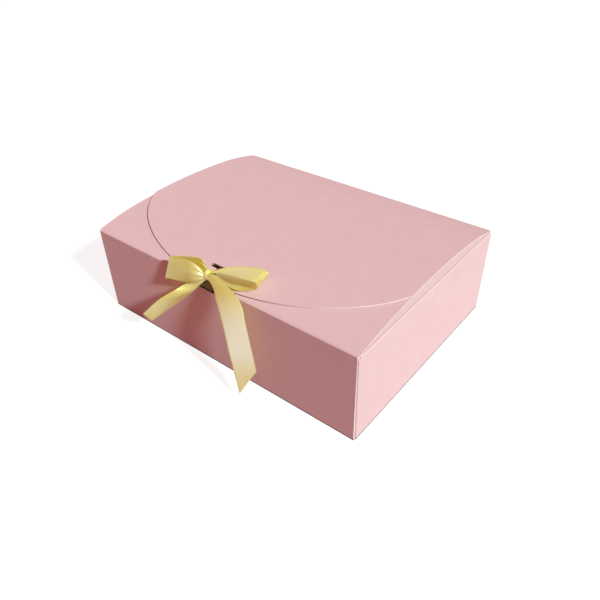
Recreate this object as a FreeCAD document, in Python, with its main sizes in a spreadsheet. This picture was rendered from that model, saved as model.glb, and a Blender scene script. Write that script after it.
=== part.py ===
import FreeCAD, Part
import math
import os
import re
import Sketcher

# Folding paperboard gift box with a rounded lid flap, tied by a satin ribbon bow.
# Millimetres and degrees. +X runs along the length, +Y to the back, +Z up.
# The origin is the middle of the underside.

Vector = FreeCAD.Vector

SIZES = (
    ("box_length", 270.0, "outside length"),
    ("box_width", 200.0, "outside width, front to back"),
    ("box_height", 80.0, "height of the front and back walls at their top creases"),
    ("board", 0.8, "thickness of the paperboard"),
    ("crease_radius", 0.9, "radius of the bead along each hinged crease"),
    ("crease_gap", 0.1, "clearance between a bead and the flap that turns on it"),
    ("fold_radius", 0.6, "rounding of the fixed folds along the base"),
    ("layer_gap", 0.35, "air between flaps that lie on each other"),
    ("edge_margin", 0.3, "how far the lid and front flap stay inside the side walls"),
    ("side_inset", 0.5, "how far a side wall's cut edges stay inside the front and back"),
    ("side_taper", 1.6, "further inset of those cut edges at the base"),
    ("corner_relief", 2.4, "length of the notch at each top corner of a side wall"),
    ("tab_depth", 24.0, "depth of a corner tab"),
    ("tab_inset", 3.0, "distance of a corner tab from the base and from the side crease"),
    ("tab_taper", 6.0, "how far a corner tab narrows at its free edge"),
    ("tape_thickness", 0.2, "double-sided tape between a tab and its side wall"),
    ("tape_width", 12.0, "width of a tape strip"),
    ("tape_inset", 8.0, "distance of a tape strip from the fold and from the tab's ends"),
    ("spring_angle", 16.0, "slope at which the arched lid leaves its crease"),
    ("crown_angle", 5.2, "slope where the arch's shoulder meets its crown"),
    ("shoulder_radius", 232.0, "radius of the arch next to a crease"),
    ("lid_tip_inset", 0.8, "distance of the lid's tip behind the front face"),
    ("lid_curve_depth", 89.5, "half axis of the lid's elliptical front, front to back"),
    ("lid_curve_overrun", 5.0, "how far the ellipse runs past each side of the box"),
    ("front_flap_depth", 92.0, "reach of the front flap from its crease"),
    ("dust_flap_depth", 62.0, "reach of a dust flap from its crease"),
    ("dust_flap_angle", 8.0, "slope of a dust flap under the arched lid"),
    ("dust_flap_shoulder", 3.0, "straight length at a dust flap's ends before it tapers"),
    ("slot_length", 24.0, "length of a ribbon slot"),
    ("slot_width", 3.4, "width of a ribbon slot"),
    ("slot_corner", 1.2, "corner radius of a ribbon slot"),
    ("lid_slot_back", 16.0, "distance of the upper slots' middle behind the front face"),
    ("wall_slot_drop", 5.5, "distance of the wall slot's middle below the top crease"),
    ("ribbon_width", 22.0, "width of the ribbon, with which the whole bow grows"),
    ("ribbon_thickness", 0.5, "thickness of the ribbon"),
    ("strap_width", 12.0, "width of the ribbon where it bunches through the slots"),
    ("strap_gap", 0.5, "clearance of the ribbon from the board it goes round"),
    ("strap_inner_drop", 3.0, "how far the strap drops inside below the lid slot"),
    ("knot_length", 4.8, "length of the knot along the bow"),
    ("knot_radius", 4.2, "radius of the knot at its middle"),
    ("knot_end_radius", 3.6, "radius of the knot at its ends"),
    ("knot_chamfer", 0.5, "length over which the knot narrows to its ends"),
    ("pleat_depth", 0.35, "depth of the two pleats round the knot"),
    ("tail_floor_gap", 0.6, "height of the longer tail's tip above the table"),
)

doc = FreeCAD.newDocument("gift_box")
sheet = doc.addObject("Spreadsheet::Sheet", "Sizes")
for row, (alias, value, note) in enumerate(SIZES, start=1):
    sheet.set(f"A{row}", note)
    sheet.set(f"B{row}", str(value))
    sheet.setAlias(f"B{row}", alias)
doc.recompute()

ALIAS_PATTERN = re.compile(r"\b(" + "|".join(alias for alias, _, _ in SIZES) + r")\b")
pieces = []


def bound(text):
    """The expression that binds a property to the sheet's cells."""
    return ALIAS_PATTERN.sub(r"Sizes.\1", text)


def number(text):
    """The present value of an expression in the sheet's names."""
    return float(sheet.evalExpression(text))


def new_body(label):
    body = doc.addObject("PartDesign::Body", label)
    body.Label = label
    pieces.append(body)
    return body


def place(piece, x="0", y="0", z="0", turn=0):
    """Stand a piece at a point, turned about the vertical by fixed degrees."""
    piece.Placement = FreeCAD.Placement(Vector(), FreeCAD.Rotation(Vector(0, 0, 1), turn))
    for axis, text in (("x", x), ("y", y), ("z", z)):
        piece.setExpression(f"Placement.Base.{axis}", bound(text))


def new_sketch(body, name, role):
    sketch = body.newObject("Sketcher::SketchObject", name)
    plane = next(f for f in body.Origin.OriginFeatures if f.Role == role)
    sketch.AttachmentSupport = [(plane, "")]
    sketch.MapMode = "FlatFace"
    return sketch


def pin_point(sketch, geometry, end, x, y):
    """Hold a point at coordinates given as expressions."""
    for kind, axis, text in (("DistanceX", -2, x), ("DistanceY", -1, y)):
        if text is None:
            continue
        value = number(text)
        if abs(value) < 1e-9:
            sketch.addConstraint(Sketcher.Constraint("PointOnObject", geometry, end, axis))
            continue
        index = sketch.addConstraint(Sketcher.Constraint(kind, -1, 1, geometry, end, value))
        sketch.setExpression(f"Constraints[{index}]", bound(text))


def arc_between(start, finish, radius, turn):
    """Arc of under a half circle that turns left (1) or right (-1) on its way."""
    chord = finish - start
    left = Vector(-chord.y, chord.x, 0).normalize() * turn
    reach = math.sqrt(max(radius**2 - (chord.Length / 2) ** 2, 0))
    centre = (start + finish) / 2 + left * reach
    return Part.Arc(start, centre - left * radius, finish)


def outline(sketch, corners):
    """Closed outline. A corner is (x, y), or (x, y, radius, turn) where an arc leaves it."""
    points = [Vector(number(corner[0]), number(corner[1]), 0) for corner in corners]
    sides = []
    for corner, start, finish in zip(corners, points, points[1:] + points[:1]):
        if len(corner) == 2:
            index = sketch.addGeometry(Part.LineSegment(start, finish), False)
        else:
            index = sketch.addGeometry(arc_between(start, finish, number(corner[2]), corner[3]), False)
        forward = sketch.getPoint(index, 1).distanceToPoint(start) < 1e-6
        sides.append((index, 1, 2) if forward else (index, 2, 1))
    for side, following in zip(sides, sides[1:] + sides[:1]):
        sketch.addConstraint(Sketcher.Constraint("Coincident", side[0], side[2], following[0], following[1]))
    for corner, (index, first, _) in zip(corners, sides):
        pin_point(sketch, index, first, corner[0], corner[1])
        if len(corner) == 4:
            held = sketch.addConstraint(Sketcher.Constraint("Radius", index, number(corner[2])))
            sketch.setExpression(f"Constraints[{held}]", bound(corner[2]))


def pad(body, sketch, length):
    feature = body.newObject("PartDesign::Pad", "Pad")
    feature.Profile = sketch
    feature.SideType = "Symmetric"
    feature.setExpression("Length", bound(length))
    doc.recompute()


def pocket(body, sketch, length):
    """Cut both ways from the sketch, and make sure that the cut meets the solid."""
    before = body.Shape.Volume
    feature = body.newObject("PartDesign::Pocket", "Pocket")
    feature.Profile = sketch
    feature.SideType = "Symmetric"
    feature.setExpression("Length", bound(length))
    doc.recompute()
    if body.Shape.Volume > before - 1e-6:
        raise RuntimeError(f"{body.Label}: {sketch.Name} cuts nothing")


# Shared places
half_length = "box_length / 2"
half_width = "box_width / 2"
wall_run = "box_length - 2 * board - 2 * tape_thickness"
side_top = "(box_height - board - layer_gap)"
through = "2 * (box_length + box_width)"


def rounded_slot(sketch, x, y, length, width):
    """Slot with rounded corners around (x, y), its length along the sketch's X axis."""
    long, short = f"({length}) / 2", f"({width}) / 2"
    inner_long, inner_short = f"({long} - slot_corner)", f"({short} - slot_corner)"
    outline(sketch, [
        (f"{x} - {inner_long}", f"{y} - {short}"),
        (f"{x} + {inner_long}", f"{y} - {short}", "slot_corner", 1),
        (f"{x} + {long}", f"{y} - {inner_short}"),
        (f"{x} + {long}", f"{y} + {inner_short}", "slot_corner", 1),
        (f"{x} + {inner_long}", f"{y} + {short}"),
        (f"{x} - {inner_long}", f"{y} + {short}", "slot_corner", 1),
        (f"{x} - {long}", f"{y} + {inner_short}"),
        (f"{x} - {long}", f"{y} - {inner_short}", "slot_corner", 1),
    ])


def base_panel():
    body = new_body("base_panel")
    sketch = new_sketch(body, "BaseOutline", "YZ_Plane")
    edge = f"{half_width} - board"
    outline(sketch, [(f"-({edge})", "0"), (edge, "0"), (edge, "board"), (f"-({edge})", "board")])
    pad(body, sketch, "box_length - 2 * board")


def wall(label, run, top, x="0", y="0", turn=0):
    """Upright panel in its own frame: outer face at y = 0, inside towards +y.

    Its foot is rounded by the fold to the base, and its top ends in the bead of a crease.
    """
    body = new_body(label)
    sketch = new_sketch(body, "WallSection", "YZ_Plane")
    bead_foot = f"{top} - crease_radius - sqrt(crease_radius^2 - (crease_radius - board)^2)"
    outline(sketch, [
        ("board", "0"),
        ("fold_radius", "0", "fold_radius", -1),
        ("0", "fold_radius"),
        ("0", f"{top} - crease_radius", "crease_radius", -1),
        ("crease_radius", top, "crease_radius", -1),
        ("2 * crease_radius", f"{top} - crease_radius", "crease_radius", -1),
        ("board", bead_foot),
    ])
    pad(body, sketch, run)
    place(body, x, y, turn=turn)
    return body


def front_and_back_walls():
    front = wall("front_wall", wall_run, "box_height", y=f"-{half_width}")
    sketch = new_sketch(front, "WallSlot", "XZ_Plane")
    rounded_slot(sketch, "0", "(box_height - wall_slot_drop)", "slot_length", "slot_width")
    pocket(front, sketch, through)
    wall("back_wall", wall_run, "box_height", y=half_width, turn=180)


def side_wall(label, x, turn):
    """Side panel whose cut ends lean inwards to the base and are notched at the crease."""
    end = f"({half_width} - side_inset)"
    body = wall(label, f"2 * {end}", side_top, x=x, turn=turn)
    sketch = new_sketch(body, "EndTrim", "XZ_Plane")
    notch_floor = f"{side_top} - 2 * crease_radius"
    for sign in ("", "-"):
        outline(sketch, [
            (f"{sign}({end} - side_taper)", "-board"),
            (f"{sign}({end} - side_taper)", "0"),
            (f"{sign}{end}", notch_floor),
            (f"{sign}({end} - corner_relief)", notch_floor),
            (f"{sign}({end} - corner_relief)", f"{side_top} + board"),
            (f"{sign}({end} + board)", f"{side_top} + board"),
            (f"{sign}({end} + board)", "-board"),
        ])
    pocket(body, sketch, through)


def corner_tab(label, x_sign, y_sign):
    """Ear of the front or back wall, folded round the corner inside the side wall."""
    body = new_body(label)
    sketch = new_sketch(body, "TabOutline", "YZ_Plane")
    fold = f"{y_sign}({half_width} - board)"
    free = f"{y_sign}({half_width} - board - tab_depth)"
    low, high = "tab_inset", f"{side_top} - 2 * crease_radius - tab_inset"
    outline(sketch, [
        (fold, low),
        (free, f"{low} + tab_taper"),
        (free, f"{high} - tab_taper"),
        (fold, high),
    ])
    pad(body, sketch, "board")
    place(body, x=f"{x_sign}({half_length} - 1.5 * board - tape_thickness)")


def corner_tapes():
    """Four strips that fill the gap between the tabs and the side walls."""
    strips = []
    for x_sign in ("", "-"):
        for y_sign in ("", "-"):
            strip = doc.addObject("Part::Box", "TapeStrip")
            strip.setExpression("Length", bound("tape_thickness"))
            strip.setExpression("Width", bound("tape_width"))
            low = "tab_inset + tape_inset"
            strip.setExpression("Height", bound(f"{side_top} - 2 * crease_radius - 2 * ({low})"))
            place(
                strip,
                x=f"{x_sign}({half_length} - board - tape_thickness / 2) - tape_thickness / 2",
                y=f"{y_sign}({half_width} - board - tape_inset - tape_width / 2) - tape_width / 2",
                z=low,
            )
            strips.append(strip)
    tapes = doc.addObject("Part::Compound", "corner_tapes")
    tapes.Links = strips
    pieces.append(tapes)


# The arched flaps are drawn in the frame of their own crease: the axis of the crease is the
# frame's X axis, and the flap runs towards +y. The upper face is three tangent arcs, a shoulder
# that starts on the crease's bead, a crown and the far shoulder.
crown_radius = (
    "((box_width / 2 - crease_radius + crease_radius * sin(spring_angle)"
    " - shoulder_radius * (sin(spring_angle) - sin(crown_angle))) / sin(crown_angle))"
)
lid_lift = "atan((board + layer_gap) / (box_width - 2 * crease_radius))"
front_flap_drop = "-atan((board + layer_gap) / front_flap_depth)"


def arch(lift):
    """The three arcs as (centre y, centre z, radius, slope at the end); lift tips the flap."""
    angles = ("spring_angle", "crown_angle", "-crown_angle")
    first, second, third = (f"({angle} * 1 deg + {lift})" for angle in angles)
    gap = f"({crown_radius} - shoulder_radius)"
    near_y = f"(shoulder_radius - crease_radius) * sin({first})"
    near_z = f"-(shoulder_radius - crease_radius) * cos({first})"
    crown_y = f"({near_y} + {gap} * sin({second}))"
    crown_z = f"({near_z} - {gap} * cos({second}))"
    far_y = f"({crown_y} - {gap} * sin({third}))"
    far_z = f"({crown_z} + {gap} * cos({third}))"
    return (
        (near_y, near_z, "shoulder_radius", second),
        (crown_y, crown_z, crown_radius, third),
        (far_y, far_z, "shoulder_radius", None),
    )


def on_arc(arc, slope, depth="0"):
    """Point of an arc's face at a slope, or of the face that lies depth below it."""
    y, z, radius, _ = arc
    return f"{y} - ({radius} - {depth}) * sin({slope})", f"{z} + ({radius} - {depth}) * cos({slope})"


def arched_section(sketch, lift, reach, arcs_used):
    """Section of an arched flap from the bead of its crease to its reach along y."""
    arcs = arch(lift)[:arcs_used]
    start = f"(spring_angle * 1 deg + {lift})"
    clear = "(crease_radius + crease_gap)"
    offset = "(shoulder_radius - crease_radius)"

    def hinge_slope(radius):
        return f"({start} - acos(({offset}^2 + {radius}^2 - {clear}^2) / (2 * {offset} * {radius})))"

    last_y, _, last_radius, _ = arcs[-1]
    end = f"asin(({last_y} - ({reach})) / {last_radius})"
    slopes = [arc[3] for arc in arcs[:-1]] + [end]
    upper_start = on_arc(arcs[0], hinge_slope("shoulder_radius"))
    lower_start = on_arc(arcs[0], hinge_slope("(shoulder_radius - board)"), "board")
    uppers = [on_arc(arc, slope) for arc, slope in zip(arcs, slopes)]
    lowers = [on_arc(arc, slope, "board") for arc, slope in zip(arcs, slopes)]
    corners = []
    for point, arc in zip([upper_start] + uppers[:-1], arcs):
        corners.append((*point, arc[2], -1))
    corners.append(uppers[-1])
    for point, arc in reversed(list(zip(lowers, arcs))):
        corners.append((*point, f"({arc[2]} - board)", 1))
    corners.append((*lower_start, clear, 1))
    outline(sketch, corners)


def flap_height(y, lift):
    """Height of an arched flap's upper face above its crease axis, at a distance y from it."""
    for centre_y, centre_z, radius, slope in arch(lift):
        if slope is None or y <= number(f"{centre_y} - {radius} * sin({slope})"):
            break
    return number(centre_z) + math.sqrt(number(radius) ** 2 - (y - number(centre_y)) ** 2)


def front_flap():
    body = new_body("front_flap")
    section = new_sketch(body, "FlapSection", "YZ_Plane")
    arched_section(section, front_flap_drop, "front_flap_depth", 2)
    pad(body, section, "box_length - 2 * edge_margin")
    slot = new_sketch(body, "FlapSlot", "XY_Plane")
    rounded_slot(slot, "0", "(lid_slot_back - crease_radius)", "slot_length + 2 * layer_gap",
                 "slot_width + 2 * layer_gap")
    pocket(body, slot, through)
    place(body, y=f"-({half_width} - crease_radius)", z="box_height - crease_radius")


def lid_front_trim(sketch):
    """The region in front of the lid's elliptical edge."""
    half_span = f"({half_length} + lid_curve_overrun)"
    middle = "(box_width - crease_radius - lid_tip_inset - lid_curve_depth)"
    side = f"({half_length} - edge_margin)"
    outer = f"({half_length} + board)"
    front = "box_width + box_height"
    bend = math.acos(number(f"{side} / {half_span}"))
    ellipse = Part.Ellipse(Vector(0, number(middle), 0), number(half_span), number("lid_curve_depth"))
    curve = sketch.addGeometry(Part.ArcOfEllipse(ellipse, bend, math.pi - bend), False)
    sketch.exposeInternalGeometry(curve)
    long_axis, short_axis = curve + 1, curve + 2
    right, left = sketch.getPoint(curve, 1), sketch.getPoint(curve, 2)
    far = [Vector(number(outer), right.y, 0), Vector(number(outer), number(front), 0)]
    far += [Vector(-point.x, point.y, 0) for point in reversed(far)]
    path = [right, *far, left]
    lines = [sketch.addGeometry(Part.LineSegment(a, b), False) for a, b in zip(path, path[1:])]
    sketch.addConstraint(Sketcher.Constraint("Coincident", curve, 1, lines[0], 1))
    for line, following in zip(lines, lines[1:]):
        sketch.addConstraint(Sketcher.Constraint("Coincident", line, 2, following, 1))
    sketch.addConstraint(Sketcher.Constraint("Coincident", lines[-1], 2, curve, 2))
    pin_point(sketch, curve, 3, "0", middle)
    sketch.addConstraint(Sketcher.Constraint("Horizontal", long_axis))
    for axis, text in ((long_axis, f"2 * {half_span}"), (short_axis, "2 * lid_curve_depth")):
        held = sketch.addConstraint(Sketcher.Constraint("Distance", axis, number(text)))
        sketch.setExpression(f"Constraints[{held}]", bound(text))
    pin_point(sketch, curve, 1, side, None)
    pin_point(sketch, curve, 2, f"-{side}", None)
    sketch.addConstraint(Sketcher.Constraint("Horizontal", lines[0]))
    sketch.addConstraint(Sketcher.Constraint("Horizontal", lines[-1]))
    pin_point(sketch, lines[0], 2, outer, None)
    pin_point(sketch, lines[1], 2, outer, front)
    pin_point(sketch, lines[2], 2, f"-{outer}", front)
    pin_point(sketch, lines[3], 2, f"-{outer}", None)


def lid_flap():
    body = new_body("lid_flap")
    section = new_sketch(body, "LidSection", "YZ_Plane")
    arched_section(section, lid_lift, "box_width - crease_radius", 3)
    pad(body, section, "box_length - 2 * edge_margin")
    trim = new_sketch(body, "LidFront", "XY_Plane")
    lid_front_trim(trim)
    pocket(body, trim, through)
    slot = new_sketch(body, "LidSlot", "XY_Plane")
    rounded_slot(slot, "0", "(box_width - crease_radius - lid_slot_back)", "slot_length", "slot_width")
    pocket(body, slot, through)
    place(body, y=f"{half_width} - crease_radius", z="box_height - crease_radius", turn=180)


def dust_flap(label, x, turn):
    """Flat flap that rises under the arch, its ends tapered so that it swings clear."""
    body = new_body(label)
    section = new_sketch(body, "DustSection", "YZ_Plane")
    clear = "(crease_radius + crease_gap)"

    def point(along, height):
        return (
            f"({along}) * cos(dust_flap_angle) - ({height}) * sin(dust_flap_angle)",
            f"({along}) * sin(dust_flap_angle) + ({height}) * cos(dust_flap_angle)",
        )

    lower = "crease_radius - board"
    outline(section, [
        point(f"sqrt({clear}^2 - crease_radius^2)", "crease_radius"),
        point("dust_flap_depth", "crease_radius"),
        point("dust_flap_depth", lower),
        (*point(f"sqrt({clear}^2 - ({lower})^2)", lower), clear, 1),
    ])
    half_run = f"({half_width} - side_inset - corner_relief)"
    pad(body, section, f"2 * {half_run}")
    trim = new_sketch(body, "DustTaper", "XY_Plane")
    taper = "(dust_flap_depth - dust_flap_shoulder)"
    for sign in ("", "-"):
        outline(trim, [
            (f"{sign}{half_run}", "dust_flap_shoulder"),
            (f"{sign}({half_run} - {taper})", "dust_flap_depth"),
            (f"{sign}({half_run} - {taper})", "dust_flap_depth + board"),
            (f"{sign}({half_run} + board)", "dust_flap_depth + board"),
            (f"{sign}({half_run} + board)", "dust_flap_shoulder"),
        ])
    pocket(body, trim, through)
    place(body, x=x, z=f"{side_top} - crease_radius", turn=turn)


# The ribbon is threaded through the three slots and tied over the front edge. Its pieces are
# given from the bow's seat: the middle of the front face at the height of the lid's tip.
def lid_top(behind_front):
    """Height of the lid's upper face at a distance behind the box's front face."""
    return number("box_height - crease_radius") + flap_height(
        number("box_width - crease_radius") - behind_front, lid_lift
    )


bow_seat = Vector(0, -number(half_width), lid_top(number("lid_tip_inset")))
thickness = number("ribbon_thickness")
width = number("ribbon_width")


def from_seat(x, y, z):
    """Point of the bow, in ribbon widths from its seat."""
    return Vector(x, y, z) * width


knot_middle = from_seat(0.018, 0.045, 0.327)


def new_ribbon(label, shape):
    ribbon = doc.addObject("Part::Feature", label)
    ribbon.Shape = shape
    ribbon.Placement = FreeCAD.Placement(bow_seat, FreeCAD.Rotation())
    pieces.append(ribbon)


def band(stations):
    """Folded band through stations, each the two edge points of the ribbon there."""
    middles = [(a + b) / 2 for a, b in stations]
    rings = []
    for index, (a, b) in enumerate(stations):
        before, after = middles[max(index - 1, 0)], middles[min(index + 1, len(middles) - 1)]
        across = (after - before).cross(b - a).normalize() * (thickness / 2)
        rings.append([a + across, b + across, b - across, a - across])
    quads = [tuple(reversed(rings[0])), tuple(rings[-1])]
    for (a, b, c, d), (a2, b2, c2, d2) in zip(rings, rings[1:]):
        quads += [(a, b, b2, a2), (b, c, c2, b2), (d, d2, c2, c), (a, a2, d2, d)]
    facets = []
    for a, b, c, d in quads:
        facets.append(Part.Face(Part.makePolygon([a, b, c, a])))
        facets.append(Part.Face(Part.makePolygon([a, c, d, a])))
    solid = Part.makeSolid(Part.makeShell(facets))
    if solid.Volume < 0:
        solid.reverse()
    return solid


def ribbon_strap():
    """Closed band: over the lid's tip, in by the wall slot and up again through the flaps."""
    gap = number("strap_gap")
    slot = number("lid_slot_back")
    wall_slot = number("box_height - wall_slot_drop") - bow_seat.z
    front = -gap
    inside = number("2 * crease_radius + strap_gap")
    floor_of_loop = lid_top(slot) - bow_seat.z - number("2 * board + 2 * layer_gap + strap_inner_drop")
    inner = [
        (slot, floor_of_loop),
        (slot, lid_top(slot) - bow_seat.z + gap),
        (slot / 2, lid_top(slot / 2) - bow_seat.z + gap),
        (number("lid_tip_inset"), gap),
        (front, gap - number("board")),
        (front, wall_slot),
        (inside, wall_slot),
    ]
    left = -number("strap_width") / 2
    wire = Part.makePolygon([Vector(left, y, z) for y, z in inner + inner[:1]])
    section = Part.Face(wire.makeOffset2D(thickness)).cut(Part.Face(wire))
    new_ribbon("ribbon_strap", section.Faces[0].extrude(Vector(number("strap_width"), 0, 0)))


def bow_knot():
    body = new_body("bow_knot")
    sketch = new_sketch(body, "KnotSection", "XZ_Plane")
    profile = [("-knot_length / 2", "0"), ("knot_length / 2", "0")]
    profile += [("knot_length / 2", "knot_end_radius"), ("knot_length / 2 - knot_chamfer", "knot_radius")]
    for pleat in ("knot_length / 6", "-knot_length / 6"):
        profile += [
            (f"{pleat} + pleat_depth", "knot_radius"),
            (pleat, "knot_radius - pleat_depth"),
            (f"{pleat} - pleat_depth", "knot_radius"),
        ]
    profile += [("-knot_length / 2 + knot_chamfer", "knot_radius"), ("-knot_length / 2", "knot_end_radius")]
    outline(sketch, profile)
    turned = body.newObject("PartDesign::Revolution", "Revolution")
    turned.Profile = sketch
    turned.ReferenceAxis = (sketch, ["H_Axis"])
    turned.Angle = 360
    body.Placement.Base = bow_seat + knot_middle


def loops():
    """Two loops. The left hangs on edge before the wall, the right lies open on the lid."""
    reach = number("knot_length / 2 + ribbon_thickness / 2")

    def left_root(y, z):
        return Vector(knot_middle.x - reach, y * width, z * width)

    def right_root(y, z):
        return Vector(knot_middle.x + reach, y * width, z * width)

    def on_lid(x, back, clear):
        return Vector(x, back, clear) * width + Vector(0, 0, lid_top(back * width) - bow_seat.z)

    left = [
        (left_root(-0.055, 0.445), left_root(-0.045, 0.209)),
        (from_seat(-0.273, -0.227, 0.75), from_seat(-0.341, -0.255, 0.136)),
        (from_seat(-0.568, -0.318, 0.855), from_seat(-0.727, -0.364, -0.055)),
        (from_seat(-1.091, -0.327, 0.714), from_seat(-1.364, -0.391, -0.241)),
        (from_seat(-1.536, -0.318, 0.559), from_seat(-1.873, -0.409, -0.4)),
        (from_seat(-1.673, -0.236, 0.495), from_seat(-2.009, -0.327, -0.436)),
        (from_seat(-1.527, -0.155, 0.541), from_seat(-1.818, -0.245, -0.377)),
        (from_seat(-0.864, -0.073, 0.682), from_seat(-1.045, -0.118, -0.209)),
        (from_seat(-0.345, -0.045, 0.718), from_seat(-0.464, -0.073, 0.045)),
        (left_root(0.118, 0.427), left_root(0.109, 0.227)),
    ]
    right = [
        (right_root(0.155, 0.436), right_root(-0.045, 0.436)),
        (from_seat(0.341, 0.409, 0.5), from_seat(0.477, 0.155, 0.518)),
        (from_seat(0.627, 0.591, 0.586), from_seat(1.045, 0.109, 0.65)),
        (from_seat(0.986, 0.755, 0.65), from_seat(1.5, 0.073, 0.764)),
        (from_seat(1.35, 0.95, 0.65), from_seat(1.818, 0.132, 0.786)),
        (from_seat(1.645, 1.077, 0.559), from_seat(1.973, 0.236, 0.691)),
        (from_seat(1.768, 1.091, 0.445), from_seat(1.964, 0.318, 0.491)),
        (on_lid(1.523, 1.091, 0.064), on_lid(1.818, 0.373, 0.145)),
        (on_lid(1.068, 0.936, 0.045), on_lid(1.477, 0.264, 0.055)),
        (on_lid(0.636, 0.786, 0.055), on_lid(1.182, 0.132, 0.064)),
        (on_lid(0.295, 0.545, 0.091), on_lid(0.591, 0.136, 0.1)),
        (right_root(0.145, 0.236), right_root(-0.027, 0.236)),
    ]
    new_ribbon("left_loop", band(left))
    new_ribbon("right_loop", band(right))


def tails():
    """Two tails with slanted ends. Heights are shares of the way down to the table."""
    drop = bow_seat.z - number("tail_floor_gap")

    def hanging(x, front, share):
        return Vector(x * width, -front * width, -share * drop)

    left = [
        (hanging(-0.077, 0.136, -0.036), hanging(-0.05, 0.032, -0.036)),
        (hanging(-0.491, 0.55, 0.024), hanging(-0.418, 0.132, 0.068)),
        (hanging(-0.973, 0.873, 0.113), hanging(-0.845, 0.173, 0.19)),
        (hanging(-1.627, 1.068, 0.258), hanging(-1.464, 0.164, 0.355)),
        (hanging(-2.427, 1.127, 0.452), hanging(-2.245, 0.282, 0.541)),
        (hanging(-2.818, 1.118, 0.544), hanging(-3.264, 0.527, 0.79)),
    ]
    right = [
        (hanging(0.032, 0.109, -0.036), hanging(0.077, 0.032, -0.036)),
        (hanging(0.273, 0.182, 0.0), hanging(0.727, 0.091, -0.05)),
        (hanging(0.527, 0.223, 0.082), hanging(1.341, 0.091, 0.0)),
        (hanging(0.727, 0.318, 0.181), hanging(1.659, 0.136, 0.09)),
        (hanging(0.941, 0.409, 0.345), hanging(1.841, 0.227, 0.229)),
        (hanging(1.209, 0.532, 0.578), hanging(2.132, 0.345, 0.487)),
        (hanging(1.432, 0.627, 0.762), hanging(2.318, 0.445, 0.665)),
        (hanging(1.75, 0.75, 1.0), hanging(2.35, 0.464, 0.688)),
    ]
    new_ribbon("left_tail", band(left))
    new_ribbon("right_tail", band(right))


base_panel()
front_and_back_walls()
side_wall("left_wall", f"-{half_length}", -90)
side_wall("right_wall", half_length, 90)
for depth_name, y_sign in (("front", "-"), ("back", "")):
    for side_name, x_sign in (("left", "-"), ("right", "")):
        corner_tab(f"{depth_name}_{side_name}_tab", x_sign, y_sign)
corner_tapes()
front_flap()
lid_flap()
dust_flap("left_dust_flap", f"-({half_length} - crease_radius)", -90)
dust_flap("right_dust_flap", f"{half_length} - crease_radius", 90)
ribbon_strap()
bow_knot()
loops()
tails()
doc.recompute()

for item in doc.Objects:
    if {"Invalid", "Error"} & set(item.State):
        raise RuntimeError(f"{item.Label} failed: {item.State}")
for piece in pieces:
    if piece.Shape.isNull() or not piece.Shape.isValid() or not piece.Shape.Solids:
        raise RuntimeError(f"{piece.Label} has no valid solid")

os.makedirs("parts", exist_ok=True)
for piece in pieces:
    piece.Shape.exportStep(f"parts/{piece.Label}.step")
    box = piece.Shape.BoundBox
    print(
        f"{piece.Label}: {len(piece.Shape.Solids)} solid, {piece.Shape.Volume:.1f} mm3, "
        f"x {box.XMin:.1f}..{box.XMax:.1f}, y {box.YMin:.1f}..{box.YMax:.1f}, "
        f"z {box.ZMin:.1f}..{box.ZMax:.1f}"
    )
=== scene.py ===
"""Folding gift box with a satin bow: the ribbon, finishes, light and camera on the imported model.

Lengths are in millimetres until a mesh is made. The bow is drawn from its seat, the lid's tip:
X to the right, Y to the back, Z up.
"""

import math

import bpy
import numpy as np
from mathutils import Matrix, Vector


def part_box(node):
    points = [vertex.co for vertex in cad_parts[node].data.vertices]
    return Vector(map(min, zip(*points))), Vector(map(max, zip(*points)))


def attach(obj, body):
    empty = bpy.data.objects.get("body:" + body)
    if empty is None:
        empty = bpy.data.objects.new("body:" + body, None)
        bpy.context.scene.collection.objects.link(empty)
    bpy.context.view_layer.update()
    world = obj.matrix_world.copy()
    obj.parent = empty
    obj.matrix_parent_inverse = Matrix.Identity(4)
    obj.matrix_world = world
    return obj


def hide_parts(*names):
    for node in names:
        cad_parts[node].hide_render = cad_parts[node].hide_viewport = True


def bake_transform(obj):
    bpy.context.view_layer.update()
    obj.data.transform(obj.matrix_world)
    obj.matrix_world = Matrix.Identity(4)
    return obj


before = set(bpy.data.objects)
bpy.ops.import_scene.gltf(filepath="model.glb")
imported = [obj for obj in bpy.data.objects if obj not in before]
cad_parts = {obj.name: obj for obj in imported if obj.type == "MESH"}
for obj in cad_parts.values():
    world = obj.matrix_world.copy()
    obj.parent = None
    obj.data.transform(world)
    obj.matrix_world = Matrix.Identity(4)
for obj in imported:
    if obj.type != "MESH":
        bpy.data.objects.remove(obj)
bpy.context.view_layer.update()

MM = 0.001

# Ribbon
KNOT_ABOVE_SEAT = np.array((0.4, 1.0, 7.2))
knot_low, knot_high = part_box("bow_knot")
BOW_SEAT = np.array((knot_low + knot_high) / 2) / MM - KNOT_ABOVE_SEAT
RIBBON_WIDTH = 22.0
RIBBON_THICKNESS = 0.3
FACES_ACROSS = 24
STEPS_BETWEEN_STATIONS = 10
SELVAGE_RADIUS = 0.28
SELVAGE_SIDES = 6
DRAWN_RIB_SPACING = 0.9
FLOAT_WIDTH = 0.9
FLOAT_LENGTH = 40.0
# The wave texture's scale for one wave to the metre
ONE_WAVE = math.tau / 20

# Board: the bands are where a change starts and where it is complete
MOTTLE_SIZE = 14.0
FIBRE_SIZE = 0.9
TAPE_FIBRE_SIZE = 1.5
# Painted contact shadow at a wall's foot: full up to the first height, gone by the second
FOOT_CREASE_HEIGHTS = (1.1, 1.9)
# Out from the middle: where a right-facing cut edge's painted highlight starts and where it is full
EDGE_SHADE_TO_LIGHT_FROM_MIDDLE = (25.0, 60.0)
# Out from the middle: where the side creases' fold whitening and painted highlight start and where they are
# full
CREASE_PALER_FROM_MIDDLE = (116.0, 127.0)
WEB_GAP = 0.1
WEB_DEPTH = 4.0
WEB_TOP_UNDER_FLAP = 77.0
WEB_TOP_BESIDE_FLAP = 78.0

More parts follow.
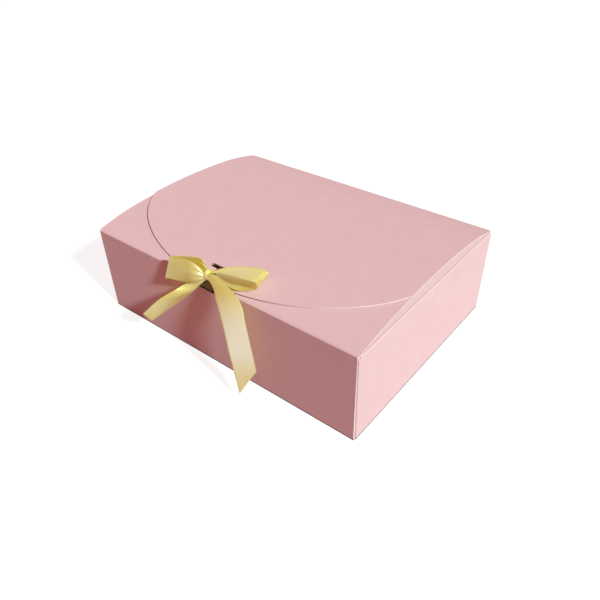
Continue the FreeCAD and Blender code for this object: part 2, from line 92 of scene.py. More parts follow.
# Light
KEY_FROM = (0.804, -0.15, 0.576)
KEY_SPREAD = 5.0
KEY_LEVEL = 1.5
KEY_COLOUR = "#DBFFFF"
FILL_COLOUR = "#FF9D9F"
FILL_LEVEL = 0.385
FLOOR_REACH = 6000.0
FLOOR_GLOW = 0.86

# View
VIEW_AZIMUTH = math.radians(39.34523)
VIEW_ELEVATION = math.radians(36.69495)
VIEW_ROLL = math.radians(-1.32422)
VIEW_CENTRE = np.array((5.9, 0.1, 8.25))
VIEW_DISTANCE = 543.6
TOWARDS_EYE = np.array((math.sin(VIEW_AZIMUTH) * math.cos(VIEW_ELEVATION),
                        -math.cos(VIEW_AZIMUTH) * math.cos(VIEW_ELEVATION), math.sin(VIEW_ELEVATION)))
EYE = VIEW_CENTRE + VIEW_DISTANCE * TOWARDS_EYE
SENSOR_WIDTH = 36.0
FOCAL_LENGTH = 35.38
NEAREST_SEEN = 10.0


def linear(code):
    """An sRGB hex colour as linear red, green, blue and alpha."""
    parts = [int(code[i:i + 2], 16) / 255 for i in (1, 3, 5)]
    return [c / 12.92 if c <= 0.04045 else ((c + 0.055) / 1.055) ** 2.4 for c in parts] + [1.0]


def add_node(tree, kind, links=None, values=None, **settings):
    """One node with its settings, its fixed inputs and its incoming links."""
    node = tree.nodes.new(kind)
    for key, value in settings.items():
        setattr(node, key, value)
    for key, value in (values or {}).items():
        node.inputs[key].default_value = value
    for key, source in (links or {}).items():
        tree.links.new(source, node.inputs[key])
    return node


def new_material(name):
    """An empty material and its node tree."""
    material = bpy.data.materials.new(name)
    material.use_nodes = True
    material.node_tree.nodes.clear()
    return material, material.node_tree


def add_object(name, data):
    """A mesh, lamp or lens put into the scene at the origin."""
    piece = bpy.data.objects.new(name, data)
    bpy.context.scene.collection.objects.link(piece)
    return piece


def board_sides(tree, normal, sideways, shade, printed_towards, cut_edge):
    """The board's colour by the way that a face looks: print outside, bare inside and the cut edges between.
    Away from the middle, a cut edge that looks to the right, towards the key lamp, gets a painted highlight;
    nearer the middle it keeps the colour given, which on the lid and front flap is a painted shade."""
    print_colour = add_node(tree, "ShaderNodeMix", {"Factor": shade},
                            {"A": linear("#DDB2B3"), "B": linear("#E2B8B9")}, data_type="RGBA")
    bare_colour = add_node(tree, "ShaderNodeMix", {"Factor": shade},
                           {"A": linear("#DFB8B8"), "B": linear("#E6C3C1")}, data_type="RGBA")
    towards = add_node(tree, "ShaderNodeVectorMath", {0: normal}, {1: printed_towards},
                       operation="DOT_PRODUCT")
    printed = add_node(tree, "ShaderNodeMapRange", {"Value": towards.outputs["Value"]},
                       {"From Min": 0.25, "From Max": 0.35})
    inside = add_node(tree, "ShaderNodeMapRange", {"Value": towards.outputs["Value"]},
                      {"From Min": -0.7, "From Max": -0.75})
    # Painted highlight on cut edges that face right, towards the key lamp, away from the middle
    direction = add_node(tree, "ShaderNodeSeparateXYZ", {"Vector": normal})
    rightwards = add_node(tree, "ShaderNodeMapRange", {"Value": direction.outputs["X"]},
                          {"From Min": 0.1, "From Max": 0.5})
    shaded_to, lit_from = EDGE_SHADE_TO_LIGHT_FROM_MIDDLE
    away_from_middle = add_node(tree, "ShaderNodeMapRange", {"Value": sideways},
                         {"From Min": shaded_to * MM, "From Max": lit_from * MM})
    pale_edge = add_node(tree, "ShaderNodeMath",
                     {0: rightwards.outputs["Result"], 1: away_from_middle.outputs["Result"]}, operation="MULTIPLY")
    edge_colour = add_node(tree, "ShaderNodeMix", {"Factor": pale_edge.outputs[0]},
                           {"A": linear(cut_edge), "B": linear("#EACBC6")}, data_type="RGBA")
    unprinted = add_node(tree, "ShaderNodeMix",
                         {"Factor": inside.outputs["Result"], "A": edge_colour.outputs["Result"],
                          "B": bare_colour.outputs["Result"]}, data_type="RGBA")
    colour = add_node(tree, "ShaderNodeMix",
                      {"Factor": printed.outputs["Result"], "A": unprinted.outputs["Result"],
                       "B": print_colour.outputs["Result"]}, data_type="RGBA")
    return colour.outputs["Result"]


def paperboard(name, printed_towards, cut_edge, foot_shade, whitening_and_highlight):
    """Matte-coated folding carton, 0.8 mm. The printed face is an even dusty pink with a faint fibre
    mottle under the coating. The board is dyed through: the inside is bare and a little paler. The cut edges
    get a painted highlight where they face right away from the middle, and elsewhere keep the colour given,
    a painted shade on the lid and front flap. The side creases are painted paler, as fold whitening and a
    painted highlight, and a painted contact shadow runs along the crease at the foot of a wall."""
    material, tree = new_material(name)
    surface = add_node(tree, "ShaderNodeTexCoord")
    mottle = add_node(tree, "ShaderNodeTexNoise", {"Vector": surface.outputs["Object"]},
                      {"Scale": 1 / (MOTTLE_SIZE * MM), "Detail": 4.0, "Roughness": 0.6})
    fibre = add_node(tree, "ShaderNodeTexNoise", {"Vector": surface.outputs["Object"]},
                     {"Scale": 1 / (FIBRE_SIZE * MM), "Detail": 3.0, "Roughness": 0.7})
    depth = add_node(tree, "ShaderNodeMath", {0: mottle.outputs["Fac"], 1: fibre.outputs["Fac"]},
                     operation="ADD")
    shade = add_node(tree, "ShaderNodeMapRange", {"Value": depth.outputs[0]},
                     {"From Min": 0.7, "From Max": 1.3})
    place = add_node(tree, "ShaderNodeSeparateXYZ", {"Vector": surface.outputs["Object"]})
    sideways = add_node(tree, "ShaderNodeMath", {0: place.outputs["X"]}, operation="ABSOLUTE")
    colour = board_sides(tree, surface.outputs["Normal"], sideways.outputs[0], shade.outputs["Result"],
                         printed_towards, cut_edge)
    # Side creases paler: fold whitening and a painted highlight where the rounded crease faces the lamp
    white_from, white_to = CREASE_PALER_FROM_MIDDLE
    near_side_crease = add_node(tree, "ShaderNodeMapRange", {"Value": sideways.outputs[0]},
                         {"From Min": white_from * MM, "From Max": white_to * MM,
                          "To Min": 0.0, "To Max": whitening_and_highlight})
    crease_paler = add_node(tree, "ShaderNodeMix", {"Factor": near_side_crease.outputs["Result"], "A": colour},
                      {"B": linear("#FFF0EE")}, data_type="RGBA")
    # Painted contact shadow along the crease at a wall's foot
    dark_to, plain_from = FOOT_CREASE_HEIGHTS
    foot_shadow = add_node(tree, "ShaderNodeMapRange", {"Value": place.outputs["Z"]},
                     {"From Min": dark_to * MM, "From Max": plain_from * MM,
                      "To Min": foot_shade, "To Max": 1.0})
    foot_shadowed = add_node(tree, "ShaderNodeVectorMath",
                      {0: crease_paler.outputs["Result"], "Scale": foot_shadow.outputs["Result"]}, operation="SCALE")
    tooth = add_node(tree, "ShaderNodeBump", {"Height": fibre.outputs["Fac"]},
                     {"Strength": 0.12, "Distance": 0.05 * MM})
    board = add_node(tree, "ShaderNodeBsdfPrincipled",
                     {"Base Color": foot_shadowed.outputs["Vector"], "Normal": tooth.outputs["Normal"]},
                     {"Roughness": 0.72, "IOR": 1.45, "Specular IOR Level": 0.35})
    add_node(tree, "ShaderNodeOutputMaterial", {"Surface": board.outputs["BSDF"]})
    return material


def tissue_tape():
    """Double-sided tissue tape: off-white, faintly fibrous, with a dull adhesive gloss."""
    material, tree = new_material("double-sided tissue tape")
    surface = add_node(tree, "ShaderNodeTexCoord")
    fibre = add_node(tree, "ShaderNodeTexNoise", {"Vector": surface.outputs["Object"]},
                     {"Scale": 1 / (TAPE_FIBRE_SIZE * MM), "Detail": 5.0})
    colour = add_node(tree, "ShaderNodeMix", {"Factor": fibre.outputs["Fac"]},
                      {"A": linear("#DDD6C8"), "B": linear("#EFEBE1")}, data_type="RGBA")
    tooth = add_node(tree, "ShaderNodeBump", {"Height": fibre.outputs["Fac"]},
                     {"Strength": 0.2, "Distance": 0.05 * MM})
    tape = add_node(tree, "ShaderNodeBsdfPrincipled",
                    {"Base Color": colour.outputs["Result"], "Normal": tooth.outputs["Normal"]},
                    {"Roughness": 0.5})
    add_node(tree, "ShaderNodeOutputMaterial", {"Surface": tape.outputs["BSDF"]})
    return material


def satin(name, deep, pale, through, roughness, paler, sheen_length):
    """Woven polyester satin ribbon. Long warp floats mirror the light softly, half as a metal does. The
    colour runs in long streaks from gold to cream along the floats, partly the cloth's own tone and partly a
    painted sheen, and broad bands along the length are a painted sheen, paler by the share paler, one each
    sheen_length.
    Light glows through the single layer. The weft ribs are 0.4 mm apart, drawn at 0.9 mm so that they show."""
    material, tree = new_material(name)
    flat = add_node(tree, "ShaderNodeTexCoord")
    ribs = add_node(tree, "ShaderNodeTexWave", {"Vector": flat.outputs["UV"]},
                    {"Scale": ONE_WAVE / (DRAWN_RIB_SPACING * MM), "Distortion": 0.6, "Detail": 1.0},
                    bands_direction="Y")
    along = add_node(tree, "ShaderNodeMapping", {"Vector": flat.outputs["UV"]},
                     {"Scale": (1 / (FLOAT_WIDTH * MM), 1 / (FLOAT_LENGTH * MM), 1.0)})
    floats = add_node(tree, "ShaderNodeTexNoise", {"Vector": along.outputs["Vector"]},
                      {"Scale": 1.0, "Detail": 2.0})
    # Painted sheen: broad paler bands along the length
    smooth = add_node(tree, "ShaderNodeTexWave", {"Vector": flat.outputs["UV"]},
                      {"Scale": ONE_WAVE / (sheen_length * MM), "Distortion": 0.8, "Detail": 0.0},
                      bands_direction="Y")
    tone = add_node(tree, "ShaderNodeMapRange", {"Value": floats.outputs["Fac"]},
                    {"From Min": 0.25, "From Max": 0.75, "To Min": 0.0, "To Max": 0.3})
    sheen_band = add_node(tree, "ShaderNodeMapRange", {"Value": smooth.outputs["Fac"]},
                       {"From Min": 0.3, "From Max": 1.0, "To Min": 0.0, "To Max": paler})
    lift = add_node(tree, "ShaderNodeMath", {0: tone.outputs["Result"], 1: sheen_band.outputs["Result"]},
                    operation="ADD", use_clamp=True)
    colour = add_node(tree, "ShaderNodeMix", {"Factor": lift.outputs[0]},
                      {"A": linear(deep), "B": linear(pale)}, data_type="RGBA")
    weave = add_node(tree, "ShaderNodeBump", {"Height": ribs.outputs["Fac"]},
                     {"Strength": 0.15, "Distance": 0.04 * MM})
    cloth = add_node(tree, "ShaderNodeBsdfPrincipled",
                     {"Base Color": colour.outputs["Result"], "Normal": weave.outputs["Normal"]},
                     {"Roughness": roughness, "Metallic": 0.5, "IOR": 1.6})
    glow = add_node(tree, "ShaderNodeBsdfTranslucent", values={"Color": linear(through)})
    layer = add_node(tree, "ShaderNodeMixShader", {1: cloth.outputs["BSDF"], 2: glow.outputs["BSDF"]},
                     {0: 0.35})
    add_node(tree, "ShaderNodeOutputMaterial", {"Surface": layer.outputs["Shader"]})
    return material


def smooth_through(stations, closed=False):
    """Even steps on a smooth line through the stations, all of whose columns are carried along. The root of
    each chord sets the line's pace, which keeps it from looping between close stations."""
    line = np.array(stations, float)
    if closed:
        line = np.vstack([line[-1:], line, line[:2]])
    pace = np.sqrt(np.linalg.norm(np.diff(line, axis=0), axis=1))[:, None]
    slope = np.diff(line, axis=0) / pace
    inner = (slope[:-1] * pace[1:] + slope[1:] * pace[:-1]) / (pace[:-1] + pace[1:])
    tangent = np.vstack([2 * slope[:1] - inner[:1], inner, 2 * slope[-1:] - inner[-1:]])
    step = np.linspace(0, 1, STEPS_BETWEEN_STATIONS, endpoint=False)[:, None, None]
    start, end = line[:-1], line[1:]
    rows = ((1 + 2 * step) * (1 - step) ** 2 * start + step ** 2 * (3 - 2 * step) * end
            + pace * (step * (1 - step) ** 2 * tangent[:-1] - step ** 2 * (1 - step) * tangent[1:]))
    rows = rows.transpose(1, 0, 2).reshape(-1, line.shape[1])
    if closed:
        return rows[STEPS_BETWEEN_STATIONS:-STEPS_BETWEEN_STATIONS]
    return np.vstack([rows, line[-1]])


def unit(vectors):
    """The vectors at length 1, with no division by zero."""
    return vectors / np.maximum(np.linalg.norm(vectors, axis=-1, keepdims=True), 1e-9)


def ribbon_points(stations, closed=False, pleats=0, pleat_depth=0.0, pleat_reach=(0.0, 0.0), phase=0.0):
    """The ribbon as rows of points from edge to edge. A station is one edge, the other edge and how far
    the middle swells. Pleats fade out over pleat_reach from the two ends."""
    rows = smooth_through([(*near, *far, swell) for near, far, swell in stations], closed)
    near, far, swell = rows[:, 0:3], rows[:, 3:6], rows[:, 6]
    middle = (near + far) / 2
    if closed:
        run = np.roll(middle, -1, axis=0) - np.roll(middle, 1, axis=0)
    else:
        run = np.gradient(middle, axis=0)
    out = unit(np.cross(run, far - near))
    travelled = np.concatenate([[0.0], np.cumsum(np.linalg.norm(np.diff(middle, axis=0), axis=1))])
    share = np.linspace(0, 1, FACES_ACROSS + 1)
    gathered = np.zeros(len(rows))
    for reach, distance in zip(pleat_reach, (travelled, travelled[-1] - travelled)):
        if reach:
            gathered += np.exp(-(distance / reach) ** 2)
    fold = np.sin(math.tau * pleats * share[None, :] + phase) * pleat_depth * gathered[:, None]
    rise = swell[:, None] * 4 * share * (1 - share) + fold
    points = near[:, None] + (far - near)[:, None] * share[None, :, None] + out[:, None] * rise[..., None]
    return points, travelled


def ribbon_mesh(name, points, travelled, material, closed=False, first=0.0):
    """A grid of faces with the flat ribbon as its UV map and its long edges marked for the selvage."""
    count, across = len(points), points.shape[1]
    steps = count if closed else count - 1
    faces = []
    for i in range(steps):
        for j in range(across - 1):
            here, there = i * across + j, (i + 1) % count * across + j
            faces.append((here, there, there + 1, here + 1))
    mesh = bpy.data.meshes.new(name)
    mesh.from_pydata(((points + BOW_SEAT) * MM).reshape(-1, 3).tolist(), [], faces)
    mesh.update()
    flat = mesh.uv_layers.new(name="UVMap")
    lengths = np.append(travelled, travelled[-1] + np.linalg.norm(points[0] - points[-1], axis=1).mean())
    for polygon in mesh.polygons:
        i, j = divmod(polygon.index, across - 1)
        corners = ((i, j), (i + 1, j), (i + 1, j + 1), (i, j + 1))
        for loop, (row, column) in zip(polygon.loop_indices, corners):
            flat.data[loop].uv = (column / (across - 1) * RIBBON_WIDTH * MM, (first + lengths[row]) * MM)
    mesh.polygons.foreach_set("use_smooth", [True] * len(mesh.polygons))
    marks = mesh.attributes.new("selvage", "BOOLEAN", "EDGE")
    for edge in mesh.edges:
        start, end = (vertex % across for vertex in edge.vertices)
        marks.data[edge.index].value = start == end and start in (0, across - 1)
    mesh.materials.append(material)
    return add_object(name, mesh)


def selvage_tree():
    """Geometry Nodes: a round thread along every marked edge of a ribbon."""
    tree = bpy.data.node_groups.new("selvage thread", "GeometryNodeTree")
    socket = tree.interface.new_socket
    socket("Ribbon", in_out="INPUT", socket_type="NodeSocketGeometry")
    radius = socket("Thread radius", in_out="INPUT", socket_type="NodeSocketFloat")
    sides = socket("Thread sides", in_out="INPUT", socket_type="NodeSocketInt")
    yarn = socket("Yarn", in_out="INPUT", socket_type="NodeSocketMaterial")
    socket("Thread", in_out="OUTPUT", socket_type="NodeSocketGeometry")
    given = add_node(tree, "NodeGroupInput").outputs
    marked = add_node(tree, "GeometryNodeInputNamedAttribute", values={"Name": "selvage"},
                      data_type="BOOLEAN")
    edge = add_node(tree, "GeometryNodeMeshToCurve",
                    {"Mesh": given["Ribbon"], "Selection": marked.outputs["Attribute"]})
    ring = add_node(tree, "GeometryNodeCurvePrimitiveCircle",
                    {"Resolution": given["Thread sides"], "Radius": given["Thread radius"]})
    thread = add_node(tree, "GeometryNodeCurveToMesh",
                      {"Curve": edge.outputs["Curve"], "Profile Curve": ring.outputs["Curve"]},
                      {"Fill Caps": True})
    smooth = add_node(tree, "GeometryNodeSetShadeSmooth", {"Geometry": thread.outputs["Mesh"]})
    real = add_node(tree, "GeometryNodeRealizeInstances", {"Geometry": smooth.outputs["Geometry"]})
    spun = add_node(tree, "GeometryNodeSetMaterial",
                    {"Geometry": real.outputs["Geometry"], "Material": given["Yarn"]})
    add_node(tree, "NodeGroupOutput", {"Thread": spun.outputs["Geometry"]})
    return tree, radius.identifier, sides.identifier, yarn.identifier


def selvage(ribbon, threads, yarn):
    """The woven edge of a ribbon, as a plain mesh."""
    tree, radius, sides, material = threads
    piece = add_object(ribbon.name + "_selvage", ribbon.data.copy())
    weave = piece.modifiers.new("selvage", "NODES")
    weave.node_group = tree
    weave[radius] = SELVAGE_RADIUS * MM
    weave[sides] = SELVAGE_SIDES
    weave[material] = yarn
    made = bpy.data.meshes.new_from_object(piece.evaluated_get(bpy.context.evaluated_depsgraph_get()))
    piece.modifiers.clear()
    piece.data = made
    made.name = piece.name
    return piece


def thicken(ribbon):
    """The cloth's thickness, half to each side of the drawn surface."""
    cloth = ribbon.modifiers.new("cloth", "SOLIDIFY")
    cloth.thickness = RIBBON_THICKNESS * MM
    cloth.offset = 0.0


# Stations of the bow, from the knot outwards, and for a loop back to it: one edge, the other edge, the swell
LEFT_LOOP = [
    ((-1.4, -1.8, 9.2), (-1.4, -1.6, 5.0), 0.4),
    ((-3.8, -5.0, 15.6), (-4.2, -4.8, 3.2), 1.6),
    ((-7.6, -7.2, 19.8), (-8.5, -6.8, 1.0), 2.4),
    ((-13.0, -7.8, 19.6), (-16.0, -8.2, -1.4), 1.6),
    ((-22.0, -7.6, 17.2), (-25.6, -8.8, -3.4), 0.6),
    ((-29.2, -7.0, 14.6), (-34.6, -9.0, -5.4), 0.2),
    ((-32.8, -6.8, 13.4), (-39.8, -8.9, -6.8), 0.0),
    ((-34.9, -5.2, 12.5), (-41.6, -7.2, -7.4), 0.0),
    ((-32.4, -3.4, 13.2), (-37.9, -5.4, -6.4), 0.0),
    ((-24.0, -1.9, 15.4), (-28.2, -3.2, -4.2), 0.0),
    ((-14.0, -0.8, 17.8), (-18.0, -2.2, -2.0), 0.0),
    ((-7.0, 0.1, 19.2), (-9.0, -1.4, 2.2), 0.4),
    ((-3.2, 0.6, 17.6), (-4.6, -0.4, 4.4), 0.6),
    ((-1.6, 1.2, 13.0), (-2.4, 0.8, 5.0), 0.4),
    ((-1.2, 1.6, 9.4), (-1.2, 1.2, 5.4), 0.2),
]

RIGHT_LOOP = [
    ((2.0, 2.8, 9.2), (2.0, -0.6, 9.4), 0.2),
    ((5.2, 6.4, 10.4), (6.4, 1.6, 10.8), 0.6),
    ((9.2, 9.8, 11.6), (14.0, 2.8, 12.4), 1.2),
    ((13.8, 13.0, 12.9), (23.0, 2.4, 14.3), 1.6),
    ((21.7, 16.6, 14.3), (33.0, 1.6, 16.8), 1.2),
    ((29.7, 20.9, 14.3), (40.0, 2.9, 17.3), 0.8),
    ((36.2, 23.7, 13.2), (43.4, 5.2, 16.2), 0.4),
    ((38.9, 24.0, 10.8), (43.2, 7.0, 12.0), 0.2),
    ((37.6, 24.2, 8.2), (42.0, 8.0, 8.8), 0.0),
    ((33.5, 24.0, 6.8), (39.6, 8.2, 6.2), 0.0),
    ((23.5, 20.6, 5.6), (32.5, 5.8, 3.6), 0.0),
    ((14.0, 17.3, 5.0), (26.0, 2.9, 2.9), 0.0),
    ((6.5, 12.0, 6.1), (13.0, 3.0, 3.2), 0.2),
    ((2.0, 3.0, 5.4), (2.0, -0.4, 5.4), 0.2),
]

LEFT_TAIL = [
    ((-0.8, -2.4, 4.6), (0.4, -0.6, 4.3), 0.0),
    ((-7.0, -3.1, 2.2), (-3.4, -2.7, 0.8), 0.3),
    ((-19.0, -3.3, -6.0), (-9.2, -2.9, -5.5), 0.5),
    ((-24.7, -14.8, -9.9), (-18.6, -3.8, -15.3), 0.6),
    ((-36.4, -22.6, -19.9), (-32.2, -3.6, -28.6), 0.4),
    ((-52.2, -24.8, -36.4), (-48.2, -6.2, -43.6), 0.2),
    ((-57.2, -24.6, -41.3), (-67.0, -11.6, -61.1), 0.0),
]

RIGHT_TAIL = [
    ((1.4, -2.6, 7.2), (2.6, -1.2, 9.8), 0.2),
    ((3.4, -3.0, 6.6), (7.0, -1.6, 10.8), 0.5),
    ((6.1, -3.2, 4.4), (13.6, -1.4, 10.2), 0.8),
    ((9.3, -3.6, 0.3), (21.5, -1.6, 7.4), 1.0),
    ((11.6, -4.8, -6.6), (31.4, -2.0, 1.4), 1.0),
    ((16.0, -6.8, -14.6), (36.5, -3.0, -7.3), 0.8),
    ((20.7, -8.8, -27.8), (40.5, -5.0, -18.5), 0.4),
    ((26.6, -11.5, -46.6), (46.9, -7.4, -39.3), 0.0),
    ((31.7, -13.6, -60.2), (51.4, -9.6, -51.4), 0.0),
    ((39.0, -16.5, -79.0), (52.2, -10.2, -53.2), 0.0),
]

# How far to the front each station above is moved along its line of sight
LEFT_LOOP_FORWARD = (0, -0.8, -2.5, -3.6, -3.7, -3.6, -3.5, -2.8, -2.0, -1.2, -0.6, -0.2, 0, 0, 0)
RIGHT_TAIL_FORWARD = (0, 0, 1.2, 3.0, 5.0, 6.6, 7.0, 6.4, 5.2, 3.8)

# The strap's round through the slots: the middle of the ribbon and half its bunched width
STRAP_PATH = [
    (3.0, 16.2, -1.8, 5.5), (3.2, 16.2, 1.4, 5.2), (3.2, 16.0, 4.2, 5.0), (3.0, 14.8, 4.9, 5.0),
    (2.4, 10.0, 3.8, 5.0), (1.6, 5.0, 2.7, 4.4), (0.8, 1.6, 2.8, 3.4), (0.4, -0.8, 2.4, 3.4),
    (0.2, -1.5, 0.4, 4.8), (0.0, -1.5, -2.2, 6.4), (0.0, -1.3, -4.2, 7.8), (0.0, -0.6, -5.4, 8.2),
    (0.0, 1.2, -5.7, 8.2), (0.4, 3.6, -5.9, 8.0), (1.2, 8.0, -4.9, 7.2), (2.2, 14.0, -2.8, 6.2),
]
PLEATED_ALL_ROUND = (1000.0, 0.0)


def stood_off(stations, forward):
    """Stations moved along their lines of sight, to the front, or to the back where forward is negative.
    The photograph's view stays as it is, and the shadow on the wall moves to its place."""
    moved = []
    for (near, far, swell), step in zip(stations, forward):
        sights = [(np.array(edge), EYE - BOW_SEAT - edge) for edge in (near, far)]
        moved.append((*(edge - sight * step / sight[1] for edge, sight in sights), swell))
    return moved


def dress_with_ribbon(name, stations, body, cloth, threads, cut, held, rests_on, first=0.0, **gather):
    """One length of the ribbon with its woven edges, in place of its plain solid. It begins at the distance
    first along the satin's pattern, which also sets where its painted sheen bands fall."""
    points, travelled = ribbon_points(stations, **gather)
    piece = ribbon_mesh(name + "_ribbon", points, travelled, cloth, gather.get("closed", False), first)
    edges = selvage(piece, threads, cloth)
    thicken(piece)
    for part in (piece, edges):
        if body.endswith("tail"):
            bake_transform(part)
        else:
            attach(part, body)
    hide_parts(name)


def bow(cloth, sheen_banded_cloth, reverse):
    """Two loops and two tails gathered at the knot, and the strap that holds the bow to the box."""
    threads = selvage_tree()
    # first sets where each length's painted sheen bands fall
    dress_with_ribbon("left_loop", stood_off(LEFT_LOOP, LEFT_LOOP_FORWARD), "lid", cloth, threads,
                      cut=(RIBBON_WIDTH, 92), held="gathered", rests_on=["bow_knot_ribbon"], first=40.0,
                      pleats=2.5, pleat_depth=0.7, pleat_reach=(9.0, 7.0))
    dress_with_ribbon("right_loop", RIGHT_LOOP, "lid", cloth, threads,
                      cut=(RIBBON_WIDTH, 82), held="gathered", rests_on=["bow_knot_ribbon", "lid_flap"],
                      first=8.0, pleats=2.0, pleat_depth=0.4, pleat_reach=(7.0, 5.0), phase=0.6)
    dress_with_ribbon("left_tail", LEFT_TAIL, "left_tail", cloth, threads,
                      cut=(RIBBON_WIDTH, 84), held="hung", rests_on=["bow_knot_ribbon"], first=30.0,
                      pleats=1.5, pleat_depth=0.4, pleat_reach=(7.0, 0.0))
    dress_with_ribbon("right_tail", stood_off(RIGHT_TAIL, RIGHT_TAIL_FORWARD), "right_tail", sheen_banded_cloth,
                      threads, cut=(RIBBON_WIDTH, 105), held="hung", rests_on=["bow_knot_ribbon"],
                      pleats=1.5, pleat_depth=0.4, pleat_reach=(7.0, 0.0), phase=1.0)
    # The strap is cut from the dull reverse satin, darkened as a painted shade under the knot
    strap = [((x - half, y, z), (x + half, y, z), 0.0) for x, y, z, half in STRAP_PATH]
    dress_with_ribbon("ribbon_strap", strap, "lid", reverse, threads,
                      cut=(14, 52), held="gathered", rests_on=["lid_flap", "front_wall"],
                      closed=True, pleats=3.5, pleat_depth=0.4, pleat_reach=PLEATED_ALL_ROUND)


def knot(cloth):
    """The ribbon drawn tight round the bow's middle, in soft ridges, with its edges rolled in."""
    around, across = 48, 20
    half_width, waist, crown = 1.9, 4.0, 1.25
    rolls_from, roll_depth = 0.62, 2.0
    ridge_height, ridges_across, ridge_sway = 0.2, 3.1, 0.5
    dent_height = 0.12
    angle = np.linspace(0, math.tau, around, endpoint=False)[:, None]
    share = np.linspace(-1, 1, across + 1)[None, :]
    roll = np.clip((np.abs(share) - rolls_from) / (1 - rolls_from), 0, 1)
    ridge = ridge_height * np.cos(share * math.pi * ridges_across + ridge_sway * np.sin(angle))
    dent = dent_height * np.sin(2 * angle + 3 * share)
    radius = waist + (ridge + dent) * (1 - roll) - roll_depth * roll ** 2
    sideways = np.tile(half_width * np.sin(share * crown), (around, 1))
    points = np.stack([sideways, -radius * np.cos(angle), radius * np.sin(angle)], axis=-1) + KNOT_ABOVE_SEAT
    travelled = np.linspace(0, math.tau * waist, around)
    piece = ribbon_mesh("bow_knot_ribbon", points, travelled, cloth, closed=True)
    thicken(piece)
    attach(piece, "lid")
    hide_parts("bow_knot")


def paint(node, material):
    """Gives a CAD node its one material."""
    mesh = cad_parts[node].data
    mesh.materials.clear()
    mesh.materials.append(material)


def finish_board():
    """One printed board: the way that each panel's print faces, its cut edge colour, the painted contact
    shadow along its foot crease and how far its side creases are painted paler, as fold whitening and a
    painted highlight."""
    # Cut edge colours: a painted shade for the lid and front flap, the plain pale edge, and the side walls'
    # edges painted pale to lift the shade in the corner joints
    shaded_edge, pale_edge, lit = "#9C6663", "#DDB4B4", "#FBEAE8"
    # Foot crease: none, or a painted contact shadow
    plain_foot, dark_foot = 1.0, 0.2
    # Side creases: even, or painted paler as fold whitening and a painted highlight
    even, whitening_and_highlight = 0.0, 0.15
    left_tab = ((-1, 0, 0), pale_edge, plain_foot, even)
    right_tab = ((1, 0, 0), pale_edge, plain_foot, even)
    panels = {
        "lid_flap": ((0, 0.5, 1), shaded_edge, plain_foot, even),
        "front_flap": ((0, -0.5, 1), shaded_edge, plain_foot, even),
        "left_dust_flap": ((-0.5, 0, 1), pale_edge, plain_foot, whitening_and_highlight),
        "right_dust_flap": ((0.5, 0, 1), pale_edge, plain_foot, whitening_and_highlight),
        "front_wall": ((0, -1, 0.8), pale_edge, dark_foot, even),
        "back_wall": ((0, 1, 0.8), pale_edge, dark_foot, even),
        "left_wall": ((-1, 0, 0.8), lit, dark_foot, even),
        "right_wall": ((1, 0, 0.8), lit, dark_foot, even),
        "base_panel": ((0, 0, -1), pale_edge, plain_foot, even),
        "front_left_tab": left_tab,
        "back_left_tab": left_tab,
        "front_right_tab": right_tab,
        "back_right_tab": right_tab,
    }
    made = {}
    for node, finish in panels.items():
        if finish not in made:
            made[finish] = paperboard("matte-coated carton " + node, *finish)
        paint(node, made[finish])
    paint("corner_tapes", tissue_tape())
    corner_webs("left_corner_webs", -1, made[left_tab])
    corner_webs("right_corner_webs", 1, made[right_tab])


def corner_webs(name, side, material):
    """The board left in the fold above and below the corner tabs of one side, which closes the corners."""
    tab_low, tab_high = (np.array(corner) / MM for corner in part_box("back_right_tab"))
    base_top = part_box("base_panel")[1][2] / MM
    flap_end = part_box("right_dust_flap")[1][1] / MM
    start, fold = tab_high[1] - WEB_DEPTH, tab_high[1] - WEB_GAP
    above_tab = tab_high[2] + WEB_GAP
    spans = ((start, fold, base_top + WEB_GAP, tab_low[2] - WEB_GAP),
             (start, flap_end, above_tab, WEB_TOP_UNDER_FLAP),
             (flap_end, fold, above_tab, WEB_TOP_BESIDE_FLAP))
    box_faces = ((0, 1, 3, 2), (4, 6, 7, 5), (0, 4, 5, 1), (2, 3, 7, 6), (0, 2, 6, 4), (1, 5, 7, 3))
    points, faces = [], []
    for end in (-1, 1):
        # A box that is mirrored once has its faces turned round, so that they point outwards
        turn = -1 if side * end < 0 else 1
        for near, far, low, high in spans:
            first = len(points)
            points += [(side * x * MM, end * y * MM, z * MM)
                       for x in (tab_low[0], tab_high[0]) for y in (near, far) for z in (low, high)]
            faces += [tuple(first + i for i in face[::turn]) for face in box_faces]
    mesh = bpy.data.meshes.new(name)
    mesh.from_pydata(points, [], faces)
    mesh.materials.append(material)
    piece = add_object(name, mesh)
    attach(piece, "box")


def shown_rays(tree):
    """1 for what the camera, a mirror or glass looks at, and 0 for what only lights the object."""
    path = add_node(tree, "ShaderNodeLightPath")
    mirrored = add_node(tree, "ShaderNodeMath",
                        {0: path.outputs["Is Camera Ray"], 1: path.outputs["Is Glossy Ray"]},
                        operation="MAXIMUM")
    shown = add_node(tree, "ShaderNodeMath",
                     {0: mirrored.outputs[0], 1: path.outputs["Is Transmission Ray"]}, operation="MAXIMUM")
    return shown.outputs[0]


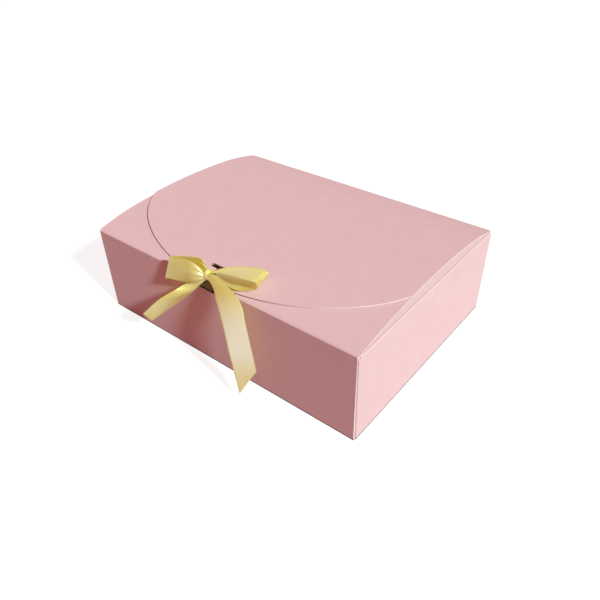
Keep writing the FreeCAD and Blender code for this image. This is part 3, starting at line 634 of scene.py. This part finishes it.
def floor():
    """Matte studio paper. It shows white to the camera with the object's soft shadow, and the light that it
    throws back at the box is dusty pink."""
    reach = FLOOR_REACH * MM
    mesh = bpy.data.meshes.new("studio_floor")
    mesh.from_pydata([(-reach, -reach, 0), (reach, -reach, 0), (reach, reach, 0), (-reach, reach, 0)], [],
                     [(0, 1, 2, 3)])
    piece = add_object("studio_floor", mesh)
    material, tree = new_material("matte studio paper")
    paper = add_node(tree, "ShaderNodeBsdfDiffuse", values={"Color": linear("#A06C6A")})
    pale = add_node(tree, "ShaderNodeBsdfDiffuse", values={"Color": linear("#7C7C7C")})
    white = add_node(tree, "ShaderNodeEmission", values={"Color": linear("#FFFFFF"), "Strength": FLOOR_GLOW})
    lit = add_node(tree, "ShaderNodeAddShader", {0: pale.outputs["BSDF"], 1: white.outputs["Emission"]})
    mixed = add_node(tree, "ShaderNodeMixShader",
                     {0: shown_rays(tree), 1: paper.outputs["BSDF"], 2: lit.outputs["Shader"]})
    add_node(tree, "ShaderNodeOutputMaterial", {"Surface": mixed.outputs["Shader"]})
    mesh.materials.append(material)


def studio():
    """A soft lamp from the right, and an even pink fill whose backdrop is white to the camera."""
    lamp = bpy.data.lights.new("key softbox", "SUN")
    lamp.angle = math.radians(KEY_SPREAD)
    lamp.energy = KEY_LEVEL * math.pi
    lamp.color = linear(KEY_COLOUR)[:3]
    key = add_object("key softbox", lamp)
    key.matrix_world = Vector(KEY_FROM).to_track_quat("Z", "Y").to_matrix().to_4x4()
    world = bpy.data.worlds.new("studio")
    world.use_nodes = True
    tree = world.node_tree
    tree.nodes.clear()
    fill = add_node(tree, "ShaderNodeBackground",
                    values={"Color": linear(FILL_COLOUR), "Strength": FILL_LEVEL})
    white = add_node(tree, "ShaderNodeBackground", values={"Color": linear("#FFFFFF"), "Strength": 1.0})
    sky = add_node(tree, "ShaderNodeMixShader",
                   {0: shown_rays(tree), 1: fill.outputs["Background"], 2: white.outputs["Background"]})
    add_node(tree, "ShaderNodeOutputWorld", {"Surface": sky.outputs["Shader"]})
    bpy.context.scene.world = world


def camera():
    """The photograph's view, solved from the box."""
    back = Vector(TOWARDS_EYE)
    level = Vector((math.cos(VIEW_AZIMUTH), math.sin(VIEW_AZIMUTH), 0))
    upright = back.cross(level)
    right = math.cos(VIEW_ROLL) * level + math.sin(VIEW_ROLL) * upright
    up = math.cos(VIEW_ROLL) * upright - math.sin(VIEW_ROLL) * level
    lens = bpy.data.cameras.new("photograph")
    lens.sensor_width = SENSOR_WIDTH
    lens.lens = FOCAL_LENGTH
    lens.clip_start = NEAREST_SEEN * MM
    view = add_object("photograph", lens)
    view.matrix_world = Matrix.Translation(Vector(EYE * MM)) @ Matrix((right, up, back)).transposed().to_4x4()
    bpy.context.scene.camera = view


camera()
# Gold satin with painted sheen bands
gold = satin("gold satin ribbon", deep="#EADB74", pale="#FFFDF0", through="#FFEC8C",
             roughness=0.42, paler=0.28, sheen_length=60)
# The same satin with stronger painted sheen bands, for the long right tail
sheen_banded_gold = satin("gold satin ribbon, painted sheen bands", deep="#E6D268", pale="#FFFDF0", through="#FFEC8C",
                    roughness=0.42, paler=0.9, sheen_length=120)
# The ribbon's dull reverse, for the strap: duller and darker as the reverse is, and darkened further as a
# painted shade under the knot
dull = satin("gold satin ribbon reverse", deep="#6A4A12", pale="#A57C2C", through="#8A6020",
             roughness=0.6, paler=0.0, sheen_length=60)
knot(gold)
bow(gold, sheen_banded_gold, dull)
finish_board()
floor()
studio()
bpy.context.scene.view_settings.view_transform = "Standard"
